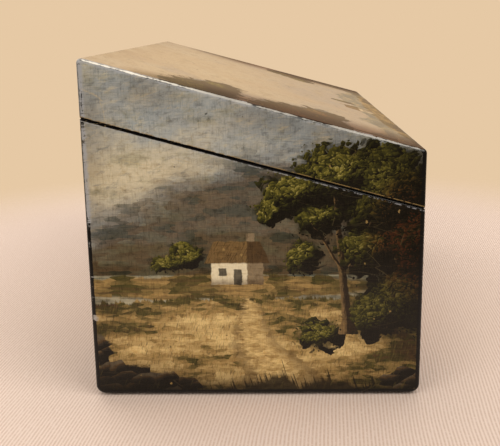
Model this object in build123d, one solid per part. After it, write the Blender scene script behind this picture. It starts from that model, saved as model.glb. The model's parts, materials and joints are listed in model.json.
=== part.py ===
from build123d import *
from math import asin, atan, cos, degrees, sin, sqrt, tan
import os

# Antique tea caddy: a painted wooden box whose top slopes down to the front. The lid is the upper
# slice of the box, parted along a joint that runs parallel to the top, and swings up on two brass
# stopped butt hinges. Inside are two foil-lined tea compartments with loose lids, and a glass
# mixing bowl between them. A small box lock in the front wall holds the lid.
#
# Millimetres. X runs along the length, Y from the front (-Y) to the back (+Y), Z is up.

# Outside of the box
case_length = 304.0          # along X
case_depth = 150.0           # along Y
front_height = 113.0         # from the underside of the base board to the top, at the front face
back_height = 154.5          # the same at the back face
lid_height = 26.0            # upright height of the lid, the same at front and back
wall = 9.0                   # sides of the case and of the lid
base_thickness = 6.0
lid_panel_thickness = 6.0
bottom_round = 4.0           # long arrises of the base
top_round = 2.0              # long arrises of the lid
end_round = 1.9              # arrises round the two end faces
joint_gap = 0.2              # between the rims of the case and the lid, square to them
rim_chamfer = 0.4            # worn outer edge of either rim

# Baize under the base
baize_thickness = 1.0
baize_inset = 6.0            # from the outside of the box

# Velvet-covered card under the lid panel
lining_thickness = 1.6
lining_clearance = 0.3

# Fittings inside the case
liner = 3.0                  # boards that line the case up to the ledge
divider = 4.0                # boards on either side of the bowl
ledge_height = 70.0          # from the base board to the ledge that the inner lids lie on
bowl_bay = 116.0             # between the middles of the two dividers
foil = 0.5                   # sheet of the foil boxes
foil_clearance = 0.2
foil_drop = 1.0              # from the ledge down to the foil's edge

# Inner lids, their knobs, and the board round the bowl
inner_lid_thickness = 4.0
inner_lid_clearance = 0.5
inner_lid_edge = 0.6         # eased upper edge
knob_foot_radius = 6.5
knob_foot_height = 1.4
knob_cove = 1.4              # height of the slope from the foot to the neck
knob_neck_radius = 2.8
knob_ball_radius = 5.6
knob_height = 16.0
dowel_radius = 2.5
dowel_clearance = 0.05

# Glass mixing bowl and the felt pad under it
pad_radius = 32.0
pad_thickness = 2.0
bowl_radius = 45.0           # outside, at the rounded bottom
bowl_flare = 1.5             # how much wider the rim is
bowl_height = 80.0
bowl_wall = 3.5
bowl_floor = 6.0
bowl_round = 17.0            # outer corner between the bottom and the wall
foot_radius = 27.0
foot_height = 3.0
foot_neck = 2.5              # depth and height of the groove above the foot
bowl_rim_round = 1.5
bowl_hole_clearance = 1.5

# Stopped butt hinges
hinge_inset = 32.0           # from either end face to the near end of its hinge
hinge_length = 40.0
knuckle_count = 5
knuckle_radius = 2.0
knuckle_play = 0.2           # along the pin, between neighbouring knuckles
hinge_pin_radius = 1.0
hinge_pin_clearance = 0.03
pin_offset = 2.25            # from the back face to the pin's middle
leaf_thickness = 1.2
leaf_margin = 1.0            # wood left between the leaf and the inside of the wall
leaf_fit = 0.05
notch_clearance = 0.1        # round the other leaf's knuckles
stop_angle = 110.5           # where the two stops meet
stop_thickness = 1.0
stop_reach = 2.4             # how far the stops stand beyond the knuckles
hinge_screw_spacing = 13.0

# Countersunk screws
screw_head_radius = 2.0
screw_head_height = 1.1
screw_edge = 0.15            # upright edge of the head
screw_radius = 1.0
screw_length = 8.0
screw_sink = 0.05            # head below the plate
screw_slot = 0.5
screw_slot_depth = 0.45
screw_clearance = 0.05

# Box lock in the front wall, and its striking plate in the lid
lock_length = 38.0
lock_height = 22.0           # from the rim at the front face to the lock's underside
lock_depth = 7.0             # from the inside of the wall into the wood
lock_plate = 0.8
lock_fit = 0.1
selvedge_length = 54.0       # plate let into the rim
selvedge_thickness = 1.2
selvedge_margin = 0.8        # wood left between the plate and the front face
staple_place = 9.0           # from the middle of the lock to either staple
staple_thickness = 1.6
staple_width = 3.0
staple_length = 8.0
eye_width = 1.7
eye_height = 2.5
eye_depth = 5.4              # from the joint to the middle of the eye
staple_clearance = 0.5
nose_width = 1.0
nose_height = 1.7
bolt_travel = 4.0
bolt_height = 3.6
bolt_play = 0.15             # on each face of the bolt
bolt_end_gap = 0.3           # left between the bolt and the lock's ends
nose_gap = 0.5               # between an open bolt's nose and the staple
prong_gap = 0.75             # between a locked bolt's prong and the staple
prong_width = 2.6
prong_depth = 2.0
bolt_under_staple = 0.4
talon_width = 6.0
talon_depth = 1.6
guide_place = 12.0
guide_width = 5.0
key_drop = 3.0               # from the bolt down to the key's axis
key_pin_radius = 1.0
key_pin_back = 1.0           # pin's end behind the front face
rivet_fit = 0.02
lock_screw_place = 23.0
keyhole_radius = 2.1
keyhole_slot = 2.0
keyhole_length = 6.5
escutcheon_width = 11.0
escutcheon_height = 18.0
escutcheon_inlay = 0.9       # let into the wood
escutcheon_proud = 0.3
escutcheon_drop = 2.2        # from the key's axis down to the plate's middle

# Places that follow from the sizes
slope = atan((back_height - front_height) / case_depth)
half_length = case_length / 2
half_depth = case_depth / 2
inner_length = half_length - wall
inner_depth = half_depth - wall
floor_z = baize_thickness + base_thickness
ledge_z = floor_z + ledge_height
joint_depth = lid_height * cos(slope)
case_rim = joint_depth + joint_gap / 2
lid_rim = joint_depth - joint_gap / 2
beyond = 2 * (case_length + back_height)
middle_y = -half_depth + wall / 2


def joint_z(y):
    """Height of the middle of the joint at an upright place y."""
    return baize_thickness + (front_height + back_height) / 2 - lid_height + y * tan(slope)


def joint_frame(x, y):
    """Frame on the joint: its Z is square to the joint and its Y climbs to the back."""
    across = (0, -sin(slope), cos(slope))
    return Plane(origin=(x, y, joint_z(y)), x_dir=(1, 0, 0), z_dir=across).location


def slab(upper, lower):
    """Endless sloping layer between two depths below the top, measured square to it."""
    size = lower - upper
    return joint_frame(0, 0) * Pos(0, 0, joint_depth - upper - size / 2) * Box(beyond, beyond, size)


def block(x, y, z):
    """Box between the two limits given along each axis."""
    limits = (x, y, z)
    middle = [(low + high) / 2 for low, high in limits]
    return Pos(*middle) * Box(*[high - low for low, high in limits])


def centred(size, y, z):
    """Box with its length centred on X."""
    return block((-size / 2, size / 2), y, z)


def turned(outline):
    """Solid of revolution about Z from an outline drawn with radius as X and height as Y."""
    return revolve(Plane.XZ * make_face(outline), Axis.Z)


def rounded_corner(face, corner, radius):
    """Round one corner of a flat face."""
    return fillet(face.vertices().sort_by_distance(corner)[0], radius)


def outer_block():
    """Case and lid in one piece, with the rounded arrises."""
    outline = Polyline(
        (-half_depth, 0), (half_depth, 0), (half_depth, back_height), (-half_depth, front_height),
        close=True,
    )
    side = make_face(outline)
    side = fillet(side.vertices().group_by(Axis.Y)[0], bottom_round)
    uppers = side.vertices().group_by(Axis.Y)
    side = fillet(uppers[-1] + uppers[-2], top_round)
    body = Pos(0, 0, baize_thickness) * extrude(Plane.YZ * side, half_length, both=True)
    ends = body.faces().filter_by(Axis.X)
    return fillet(ends.edges(), end_round)


def ease_rim(body, up):
    """Chamfer the outer edge of the rim that faces up or down."""
    rim = body.faces().filter_by(lambda face: face.normal_at().Z * up > cos(2 * slope))[0]
    return chamfer(rim.outer_wire().edges(), rim_chamfer)


def mitred(body, x_side, y_side):
    """The part of a four-sided frame that lies along one side, cut off at its mitres."""
    def corner(x, y, inset):
        return (x * (half_length - inset), y * (half_depth - inset))

    outer, inner = -wall, 2 * wall
    if x_side:
        ends = ((x_side, -1), (x_side, 1))
    else:
        ends = ((-1, y_side), (1, y_side))
    outline = Polyline(
        corner(*ends[0], outer), corner(*ends[1], outer), corner(*ends[1], inner),
        corner(*ends[0], inner), close=True,
    )
    return body & extrude(make_face(outline), beyond)


def screw_outline(fit, top):
    """Half outline of a screw, or of its hole when fit is the clearance; Z is out of the wood."""
    head = screw_head_radius + fit
    shank = screw_radius + fit
    cone = -screw_sink - screw_edge
    neck = -screw_sink - screw_head_height
    return Polyline(
        (0, top), (head, top), (head, cone), (shank, neck), (shank, -screw_length),
        (0, -screw_length - shank), close=True,
    )


def rim_screws(places, y, lid, hole):
    """Screws in a plate let into a rim, or the holes for them."""
    if hole:
        one = turned(screw_outline(screw_clearance, leaf_thickness))
    else:
        one = turned(screw_outline(0, -screw_sink))
        cut = Box(3 * screw_head_radius, screw_slot, 2 * screw_slot_depth)
        one -= Pos(0, 0, -screw_sink) * cut
    face = Pos(0, 0, joint_gap / 2) * Rot(180, 0, 0) if lid else Pos(0, 0, -joint_gap / 2)
    return [joint_frame(x, y) * face * one for x in places]


# Hinges, in a frame on the pin with its X along the pin and its Y climbing to the back

hinge_place = half_length - hinge_inset - hinge_length / 2
hinge_middles = (-hinge_place, hinge_place)
hinge_screw_y = half_depth - wall / 2
leaf_reach = (pin_offset + wall - leaf_margin) / cos(slope)
stop_start = knuckle_radius + notch_clearance
stop_spread = (stop_angle + 2 * degrees(asin(stop_thickness / 2 / stop_start))) / 2


def hinge_frame(x):
    return joint_frame(x, half_depth + pin_offset)


def knuckle_spans(lid):
    """Limits along the pin of one leaf's knuckles. The case leaf has the outer ones."""
    pitch = hinge_length / knuckle_count
    start = -hinge_length / 2
    return [(start + i * pitch, start + (i + 1) * pitch)
            for i in range(1 if lid else 0, knuckle_count, 2)]


def along_pin(radius, low, high):
    return Pos((low + high) / 2, 0, 0) * Rot(0, 90, 0) * Cylinder(radius, high - low)


def leaf_space(lid, fit, open_side):
    """Room for a leaf in its rim: the leaf itself when both allowances are 0."""
    side = 1 if lid else -1
    near = joint_gap / 2 - open_side
    far = joint_gap / 2 + leaf_thickness
    z = sorted((side * near, side * far))
    return centred(hinge_length + 2 * fit, (-leaf_reach - fit, open_side), z)


def hinge_leaf(lid):
    side = 1 if lid else -1
    leaf = leaf_space(lid, 0, 0)
    for low, high in knuckle_spans(not lid):
        reach = knuckle_radius + notch_clearance
        leaf -= block((low, high), (-reach, reach), (-reach, reach))
    stop = centred(hinge_length, (stop_start, knuckle_radius + stop_reach),
                   (-stop_thickness / 2, stop_thickness / 2))
    for low, high in knuckle_spans(lid):
        low, high = low + knuckle_play / 2, high - knuckle_play / 2
        leaf += along_pin(knuckle_radius, low, high)
        stop += block((low, high), (hinge_pin_radius, stop_start + notch_clearance),
                      (-stop_thickness / 2, stop_thickness / 2))
    leaf += Rot(side * stop_spread, 0, 0) * stop
    bore = hinge_pin_radius + hinge_pin_clearance
    return leaf - along_pin(bore, -hinge_length, hinge_length)


def hinge_screw_places(x):
    return [x - hinge_screw_spacing, x, x + hinge_screw_spacing]


def hinge_nodes():
    nodes = {}
    for name, x in zip(("left", "right"), hinge_middles):
        for part, lid in (("case", False), ("lid", True)):
            leaf = hinge_frame(x) * hinge_leaf(lid)
            for hole in rim_screws(hinge_screw_places(x), hinge_screw_y, lid, True):
                leaf -= hole
            nodes[f"hinge_{name}_{part}_leaf"] = leaf
        pin = along_pin(hinge_pin_radius, -hinge_length / 2, hinge_length / 2)
        nodes[f"hinge_{name}_pin"] = hinge_frame(x) * pin
    places = [place for x in hinge_middles for place in hinge_screw_places(x)]
    for part, lid in (("case", False), ("lid", True)):
        nodes[f"hinge_screws_{part}"] = Compound(rim_screws(places, hinge_screw_y, lid, False))
    return nodes


def cut_for_hinges(body, lid):
    for x in hinge_middles:
        body -= hinge_frame(x) * leaf_space(lid, leaf_fit, wall)
        for hole in rim_screws(hinge_screw_places(x), hinge_screw_y, lid, True):
            body -= hole
    return body


# Lock: the box stands upright in the wall, the staples hang square to the joint

lock_front = -inner_depth - lock_depth
lock_back = -inner_depth
lock_bottom = joint_z(-half_depth) - lock_height
staple_middles = (-staple_place, staple_place)
lock_screw_places = (-lock_screw_place, lock_screw_place)
staple_tip_z = joint_z(middle_y) - staple_length * cos(slope) - staple_width / 2 * sin(slope)
bolt_top = staple_tip_z - bolt_under_staple
bolt_bottom = bolt_top - bolt_height
key_z = bolt_bottom - key_drop
bolt_length = lock_length - 2 * lock_plate - bolt_travel - 2 * bolt_end_gap


def selvedge(upper, lower):
    """Plate across a rim, between two depths below the top."""
    across = (-half_depth + selvedge_margin, lock_back)
    return centred(selvedge_length, across, (0, beyond)) & slab(upper, lower)


def keyhole(low, high):
    """Keyhole through everything between two places along Y."""
    shape = Circle(keyhole_radius)
    shape += Pos(0, -keyhole_length / 2) * Rectangle(keyhole_slot, keyhole_length)
    return Pos(0, high, key_z) * extrude(Plane.XZ * shape, high - low)


def lock_case():
    inside = (lock_front + lock_plate, lock_back)
    upright = (lock_bottom, beyond)
    body = centred(lock_length, (lock_front, lock_back - lock_plate), upright)
    body &= slab(case_rim, beyond)
    hollow = centred(lock_length - 2 * lock_plate, inside, (lock_bottom + lock_plate, beyond))
    body -= hollow & slab(case_rim + selvedge_thickness, beyond)
    for x in (-guide_place, guide_place):
        x_limits = (x - guide_width / 2, x + guide_width / 2)
        body += block(x_limits, (lock_front, lock_back - lock_plate - bolt_play),
                      (lock_bottom, bolt_bottom - bolt_play))
    body += selvedge(case_rim, case_rim + selvedge_thickness)
    for x in staple_middles:
        width = staple_thickness + 2 * staple_clearance
        reach = staple_width / 2 + staple_clearance
        body -= joint_frame(x, middle_y) * centred(
            width, (-reach, reach), (-2 * selvedge_thickness, selvedge_thickness))
    for hole in rim_screws(lock_screw_places, middle_y, False, True):
        body -= hole
    return body - keyhole(lock_front - lock_fit, lock_front + lock_plate + lock_fit)


def lock_cap():
    cap = centred(lock_length, (lock_back - lock_plate, lock_back), (lock_bottom, beyond))
    cap &= slab(case_rim + selvedge_thickness, beyond)
    rivet = Rot(90, 0, 0) * Cylinder(key_pin_radius + rivet_fit, beyond)
    return cap - Pos(0, 0, key_z) * rivet


def lock_pin():
    low, high = -half_depth + key_pin_back, lock_back
    pin = Rot(90, 0, 0) * Cylinder(key_pin_radius, high - low)
    return Pos(0, (low + high) / 2, key_z) * pin


def lock_bolt():
    """The bolt drawn back, with one nose beside either staple."""
    shift = -bolt_travel / 2
    depth = (lock_front + lock_plate + bolt_play, lock_back - lock_plate - bolt_play)
    bolt = centred(bolt_length, depth, (bolt_bottom, bolt_top))
    bolt -= centred(talon_width, (lock_front, lock_back), (0, bolt_bottom + talon_depth))
    bolt = Pos(shift, 0, 0) * bolt
    eye_y = middle_y + eye_depth * sin(slope)
    prong_top = joint_z(middle_y) - eye_depth * cos(slope) + nose_height
    for x in staple_middles:
        tip = x - staple_thickness / 2 - nose_gap
        root = x - staple_thickness / 2 - prong_gap - bolt_travel
        bolt += block((root - prong_width, root), (eye_y - prong_depth / 2, eye_y + prong_depth / 2),
                      (bolt_bottom + talon_depth, prong_top))
        nose = block((root - prong_width / 2 - x, tip - x), (-nose_width / 2, nose_width / 2),
                     (-eye_depth - nose_height / 2, -eye_depth + nose_height / 2))
        bolt += joint_frame(x, middle_y) * nose
    return bolt


def lock_strike():
    """Striking plate in the lid, with its two staples."""
    strike = selvedge(lid_rim - selvedge_thickness, lid_rim)
    for x in staple_middles:
        staple = centred(staple_thickness, (-staple_width / 2, staple_width / 2),
                         (-staple_length, joint_gap / 2 + selvedge_thickness / 2))
        eye = centred(2 * staple_thickness, (-eye_width / 2, eye_width / 2),
                      (-eye_depth - eye_height / 2, -eye_depth + eye_height / 2))
        strike += joint_frame(x, middle_y) * (staple - eye)
    for hole in rim_screws(lock_screw_places, middle_y, True, True):
        strike -= hole
    return strike


def escutcheon_space(proud):
    plate = extrude(Plane.XZ * Ellipse(escutcheon_width / 2, escutcheon_height / 2),
                    escutcheon_inlay + proud)
    return Pos(0, -half_depth + escutcheon_inlay, key_z - escutcheon_drop) * plate


def escutcheon():
    reach = half_depth + escutcheon_proud
    return escutcheon_space(escutcheon_proud) - keyhole(-reach - wall, -inner_depth)


def cut_for_lock(body):
    body -= centred(lock_length + 2 * lock_fit, (lock_front, lock_back + wall),
                    (lock_bottom - lock_fit, beyond))
    across = (-half_depth + selvedge_margin, lock_back + wall)
    recess = centred(selvedge_length + 2 * lock_fit, across, (0, beyond))
    body -= recess & slab(0, case_rim + selvedge_thickness)
    for hole in rim_screws(lock_screw_places, middle_y, False, True):
        body -= hole
    return body - keyhole(-half_depth - wall, lock_front + wall) - escutcheon_space(wall)


def cut_for_strike(body):
    across = (-half_depth + selvedge_margin, lock_back + wall)
    recess = centred(selvedge_length + 2 * lock_fit, across, (0, beyond))
    body -= recess & slab(lid_rim - selvedge_thickness, beyond)
    for hole in rim_screws(lock_screw_places, middle_y, True, True):
        body -= hole
    return body


def lock_nodes():
    return {
        "lock_case": lock_case(),
        "lock_cap": lock_cap(),
        "lock_pin": lock_pin(),
        "lock_bolt": lock_bolt(),
        "lock_screws": Compound(rim_screws(lock_screw_places, middle_y, False, False)),
        "lock_strike": lock_strike(),
        "strike_screws": Compound(rim_screws(lock_screw_places, middle_y, True, False)),
        "escutcheon": escutcheon(),
    }


# Case and lid

def case_nodes(whole):
    body = ease_rim(whole & slab(case_rim, beyond), 1)
    cavity = centred(2 * inner_length, (-inner_depth, inner_depth), (floor_z, beyond))
    base_zone = centred(beyond, (-beyond, beyond), (0, floor_z))
    sides = body - cavity - base_zone
    reach = half_depth - baize_inset
    return {
        "base_baize": centred(case_length - 2 * baize_inset, (-reach, reach), (0, baize_thickness)),
        "base_board": body & base_zone,
        "case_front_wall": cut_for_lock(mitred(sides, 0, -1)),
        "case_back_wall": cut_for_hinges(mitred(sides, 0, 1), False),
        "case_left_wall": mitred(sides, -1, 0),
        "case_right_wall": mitred(sides, 1, 0),
    }


def lid_nodes(whole):
    body = ease_rim(whole & slab(-beyond, lid_rim), -1)
    cavity = centred(2 * inner_length, (-inner_depth, inner_depth), (0, beyond))
    sides = (body & slab(lid_panel_thickness, beyond)) - cavity
    reach = inner_depth - lining_clearance
    lining = centred(2 * (inner_length - lining_clearance), (-reach, reach), (0, beyond))
    return {
        "lid_panel": body & slab(-beyond, lid_panel_thickness),
        "lid_front_rail": cut_for_strike(mitred(sides, 0, -1)),
        "lid_back_rail": cut_for_hinges(mitred(sides, 0, 1), True),
        "lid_left_rail": mitred(sides, -1, 0),
        "lid_right_rail": mitred(sides, 1, 0),
        "lid_lining": lining & slab(lid_panel_thickness, lid_panel_thickness + lining_thickness),
    }


# Fittings inside the case

lined_length = inner_length - liner
lined_depth = inner_depth - liner
bay_middle = bowl_bay / 2
tea_start = bay_middle + divider / 2
tea_middle = (tea_start + lined_length) / 2
inner_lid_start = bay_middle + inner_lid_clearance / 2
inner_lid_end = inner_length - inner_lid_clearance
inner_lid_middle = (inner_lid_start + inner_lid_end) / 2
lid_top_z = ledge_z + inner_lid_thickness


def foil_box(side):
    """Open box of foil that fills one tea compartment."""
    length = lined_length - tea_start - 2 * foil_clearance
    width = 2 * (lined_depth - foil_clearance)
    top = ledge_z - foil_drop
    outside = centred(length, (-width / 2, width / 2), (floor_z, top))
    inside = centred(length - 2 * foil, (-width / 2 + foil, width / 2 - foil),
                     (floor_z + foil, beyond))
    return Pos(side * tea_middle, 0, 0) * (outside - inside)


def inner_lid(side):
    reach = inner_depth - inner_lid_clearance
    length = inner_lid_end - inner_lid_start
    panel = centred(length, (-reach, reach), (ledge_z, lid_top_z))
    panel = chamfer(panel.faces().sort_by(Axis.Z)[-1].edges(), inner_lid_edge)
    panel -= Pos(0, 0, ledge_z) * Cylinder(dowel_radius + dowel_clearance, beyond)
    return Pos(side * inner_lid_middle, 0, 0) * panel


def inner_knob(side):
    """Turned knob with a dowel through the inner lid."""
    ball_z = knob_height - knob_ball_radius
    ball_start = ball_z - sqrt(knob_ball_radius ** 2 - knob_neck_radius ** 2)
    outline = Polyline(
        (0, knob_height), (0, -inner_lid_thickness), (dowel_radius, -inner_lid_thickness),
        (dowel_radius, 0), (knob_foot_radius, 0), (knob_foot_radius, knob_foot_height),
        (knob_neck_radius, knob_foot_height + knob_cove), (knob_neck_radius, ball_start),
    )
    ball = ThreePointArc((knob_neck_radius, ball_start), (knob_ball_radius, ball_z), (0, knob_height))
    return Pos(side * inner_lid_middle, 0, lid_top_z) * turned(outline + ball)


def bowl_board():
    """Board between the inner lids, with the round hole that the bowl stands in."""
    reach = inner_depth
    board = centred(bowl_bay - inner_lid_clearance, (-reach, reach), (ledge_z, lid_top_z))
    hole = bowl_radius + bowl_flare + bowl_hole_clearance
    return board - Cylinder(hole, beyond)


def mixing_bowl():
    body_z = foot_height + foot_neck
    rim = bowl_radius + bowl_flare
    inner_bottom = body_z + bowl_floor
    corners = {
        "outer": (bowl_radius, body_z),
        "inner": (bowl_radius - bowl_wall, inner_bottom),
        "lip": (rim, bowl_height),
    }
    outline = Polyline(
        (0, 0), (foot_radius, 0), (foot_radius, foot_height), (foot_radius - foot_neck, body_z),
        corners["outer"], corners["lip"], (rim - bowl_wall, bowl_height), corners["inner"],
        (0, inner_bottom), close=True,
    )
    section = make_face(outline)
    section = rounded_corner(section, corners["outer"], bowl_round)
    section = rounded_corner(section, corners["inner"], bowl_round - bowl_wall)
    section = rounded_corner(section, corners["lip"], bowl_rim_round)
    glass = revolve(Plane.XZ * section, Axis.Z)
    return Pos(0, 0, floor_z + pad_thickness) * glass


def inside_nodes():
    stand = (floor_z, ledge_z)
    pad = Pos(0, 0, floor_z + pad_thickness / 2) * Cylinder(pad_radius, pad_thickness)
    nodes = {
        "liner_front": centred(2 * inner_length, (-inner_depth, -lined_depth), stand),
        "liner_back": centred(2 * inner_length, (lined_depth, inner_depth), stand),
        "bowl_pad": pad,
        "bowl_board": bowl_board(),
        "mixing_bowl": mixing_bowl(),
    }
    for name, side in (("left", -1), ("right", 1)):
        liner_x = sorted((side * lined_length, side * inner_length))
        divider_x = sorted((side * (tea_start - divider), side * tea_start))
        across = (-lined_depth, lined_depth)
        nodes[f"liner_{name}"] = block(liner_x, across, stand)
        nodes[f"divider_{name}"] = block(divider_x, across, stand)
        nodes[f"foil_{name}"] = foil_box(side)
        nodes[f"inner_lid_{name}"] = inner_lid(side)
        nodes[f"inner_knob_{name}"] = inner_knob(side)
    return nodes


def main():
    whole = outer_block()
    nodes = case_nodes(whole) | lid_nodes(whole) | inside_nodes() | hinge_nodes() | lock_nodes()
    bounds = Compound([node for node in nodes.values()]).bounding_box()
    to_middle = Pos(0, -bounds.center().Y, 0)
    os.makedirs("parts", exist_ok=True)
    for name, node in nodes.items():
        export_step(to_middle * node, f"parts/{name}.step")
    print("moved along Y by", round(-bounds.center().Y, 4))


main()
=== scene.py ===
import bmesh
import bpy
import json
from math import atan, cos, pi, radians, sin, tan
from mathutils import Matrix, Vector


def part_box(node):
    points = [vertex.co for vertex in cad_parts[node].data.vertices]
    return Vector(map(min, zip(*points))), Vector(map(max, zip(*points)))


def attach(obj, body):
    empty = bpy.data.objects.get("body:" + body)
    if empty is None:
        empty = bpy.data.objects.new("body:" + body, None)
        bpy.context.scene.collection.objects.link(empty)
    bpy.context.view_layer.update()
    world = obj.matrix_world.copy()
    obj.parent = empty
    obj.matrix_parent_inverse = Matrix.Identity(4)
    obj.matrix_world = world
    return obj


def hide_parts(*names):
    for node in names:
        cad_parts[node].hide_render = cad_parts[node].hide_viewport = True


# The finish of a painted, varnished tea caddy with a sloping lid, its velvet, foil, brass and glass,
# a pale floor and soft light. The painter's picture is laid out in millimetres; all else is in metres.

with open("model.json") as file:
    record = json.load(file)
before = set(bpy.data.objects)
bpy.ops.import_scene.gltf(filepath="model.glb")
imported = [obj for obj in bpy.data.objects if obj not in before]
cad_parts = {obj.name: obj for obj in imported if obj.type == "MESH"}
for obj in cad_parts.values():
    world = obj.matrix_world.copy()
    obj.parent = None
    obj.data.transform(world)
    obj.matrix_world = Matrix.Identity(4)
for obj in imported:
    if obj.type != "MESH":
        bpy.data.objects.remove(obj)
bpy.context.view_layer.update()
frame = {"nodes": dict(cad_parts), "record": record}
nodes = frame["nodes"]
members = frame["record"]["behaviour"]["bodies"]
body_of_node = {node: body for body, names in members.items() for node in names}

MM = 0.001

# The box, as it stands in the frame
BACK_HEIGHT = 155.5
FRONT_HEIGHT = 114.0
LID_HEIGHT = 26.0
base_low, base_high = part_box("base_board")
HALF_LENGTH = (base_high[0] - base_low[0]) / 2 / MM
HALF_DEPTH = (base_high[1] - base_low[1]) / 2 / MM
MIDDLE_Y = (base_high[1] + base_low[1]) / 2 / MM
FLOOR_OF_BASE = base_low[2] / MM
SLOPE = atan((BACK_HEIGHT - FRONT_HEIGHT) / (2 * HALF_DEPTH))
TOP_MIDDLE = (BACK_HEIGHT + FRONT_HEIGHT) / 2
# Where x is along the lid, y up its slope and z out of its top
LID_FRAME = Matrix.Translation((0, MIDDLE_Y * MM, TOP_MIDDLE * MM)) @ Matrix.Rotation(SLOPE, 4, "X")

# The camera stands off the left end, a little above the lid
CAMERA_PLACE = (-508.5 * MM, (MIDDLE_Y - 8.8) * MM, 168.9 * MM)
CAMERA_YAW = radians(1.73)
CAMERA_PITCH = radians(-13.62)
CAMERA_ROLL = radians(-0.93)
FOCAL_PIXELS = 831.6
PICTURE_WIDTH = 500
SENSOR_WIDTH = 36.0


def srgb(red, green, blue):
    """A colour given in 0 to 255, as the linear value that a shader takes."""
    def linear(value):
        value /= 255
        return value / 12.92 if value <= 0.04045 else ((value + 0.055) / 1.055) ** 2.4
    return (linear(red), linear(green), linear(blue), 1.0)


# Shader maths

class Value:
    """A socket of a finish. Arithmetic on it adds the Math nodes."""

    def __init__(self, maker, socket):
        self.maker = maker
        self.socket = socket

    def math(self, operation, *others):
        return self.maker.node("Math", {"operation": operation}, dict(enumerate((self, *others))))

    def __add__(self, other):
        return self.math("ADD", other)

    __radd__ = __add__

    def __sub__(self, other):
        return self.math("SUBTRACT", other)

    def __rsub__(self, other):
        return self.maker.node("Math", {"operation": "SUBTRACT"}, {0: other, 1: self})

    def __mul__(self, other):
        return self.math("MULTIPLY", other)

    __rmul__ = __mul__

    def __truediv__(self, other):
        return self.math("DIVIDE", other)

    def __neg__(self):
        return self * -1

    def low(self, other):
        return self.math("MINIMUM", other)

    def high(self, other):
        return self.math("MAXIMUM", other)

    def below(self, other):
        return self.math("LESS_THAN", other)

    def size(self):
        return self.math("ABSOLUTE")

    def rise(self, start, end):
        """0 before start, 1 after end, smooth between them; start may be the larger."""
        return self.maker.node("MapRange", {"interpolation_type": "SMOOTHSTEP"},
                               {0: self, 1: start, 2: end})

    def band(self, middle, half, soft):
        """1 within half of the middle, falling to 0 over soft."""
        return (self - middle).size().rise(half + soft, half)


class Maker:
    """Adds nodes to one tree."""

    def __init__(self, tree):
        self.tree = tree

    def node(self, kind, settings=None, inputs=None, out=0):
        """Any node: its settings first, then a value or a link for each socket named."""
        made = self.tree.nodes.new("ShaderNode" + kind)
        for name, value in (settings or {}).items():
            if name == "stops":
                self.set_stops(made.color_ramp, value)
            else:
                setattr(made, name, value)
        for socket, value in (inputs or {}).items():
            if isinstance(value, Value):
                self.tree.links.new(value.socket, made.inputs[socket])
            else:
                made.inputs[socket].default_value = value
        return Value(self, made.outputs[out])

    def set_stops(self, ramp, stops):
        while len(ramp.elements) < len(stops):
            ramp.elements.new(0.5)
        for element, (place, colour) in zip(ramp.elements, stops):
            element.position = place
            element.color = colour

    def place(self, scale=1 / MM):
        """Where a point of the object is, in millimetres unless another scale is given."""
        spot = self.node("TexCoord", out="Object")
        return self.vector("SCALE", spot, Scale=scale)

    def vector(self, operation, *others, out=0, **named):
        inputs = dict(enumerate(others)) | named
        return self.node("VectorMath", {"operation": operation}, inputs, out)

    def split(self, spot):
        node = self.node("SeparateXYZ", inputs={0: spot}).socket.node
        return [Value(self, socket) for socket in node.outputs]

    def joined(self, x, y, z=0.0):
        return self.node("CombineXYZ", inputs={0: x, 1: y, 2: z})

    def pick(self, mask, yes, no):
        """Number that is yes where the mask is 1 and no where it is 0."""
        return self.node("Mix", inputs={0: mask, 2: no, 3: yes})

    def colour(self, mask, over, under, blend="MIX"):
        """Colour that shows over where the mask is 1."""
        settings = {"data_type": "RGBA", "blend_type": blend}
        return self.node("Mix", settings, {0: mask, 6: under, 7: over}, out=2)

    def noise(self, spot, scale=1.0, detail=2.0, roughness=0.5, out=0):
        inputs = {"Vector": spot, "Scale": scale, "Detail": detail, "Roughness": roughness}
        return self.node("TexNoise", inputs=inputs, out=out)

    def flecks(self, s, t, seed, detail=2.0, roughness=0.5, out=0):
        """Noise over the flat picture, where seed picks the layer of it that is cut through."""
        return self.noise(self.joined(s, t, seed), 1.0, detail, roughness, out)

    def cells(self, spot, scale, feature="F1", out=0):
        return self.node("TexVoronoi", {"feature": feature}, {"Vector": spot, "Scale": scale}, out)

    def stirred(self, spot, scale, far):
        """The spot pushed about by up to far, so that a pattern on it loses its regularity."""
        push = self.noise(spot, scale, out="Color")
        return self.vector("ADD", spot, self.vector("SCALE", push, Scale=far))

    def ramp(self, value, *stops):
        return self.node("ValToRGB", {"stops": stops}, {0: value})

    def bump(self, height, distance, strength=1.0):
        return self.node("Bump", inputs={"Strength": strength, "Distance": distance * MM, "Height": height})

    def use(self, group, *values):
        """What a part made before gives for these values: one Value, or a list of them."""
        node = self.node("Group", {"node_tree": group}, dict(enumerate(values))).socket.node
        made = [Value(self, socket) for socket in node.outputs]
        return made if len(made) > 1 else made[0]


def part(name, draw, takes, gives="Float"):
    """A group of nodes, made once and used in several places. Draw gets a Value for each kind it takes."""
    tree = bpy.data.node_groups.new(name, "ShaderNodeTree")
    for way, kinds in (("INPUT", takes.split()), ("OUTPUT", gives.split())):
        for number, kind in enumerate(kinds):
            tree.interface.new_socket(f"{kind} {number}", in_out=way, socket_type="NodeSocket" + kind)
    maker = Maker(tree)
    start = tree.nodes.new("NodeGroupInput")
    end = tree.nodes.new("NodeGroupOutput")
    made = draw(maker, *[Value(maker, socket) for socket in start.outputs[:len(takes.split())]])
    for number, value in enumerate(made if isinstance(made, tuple) else (made,)):
        tree.links.new(value.socket, end.inputs[number])
    return tree


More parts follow.
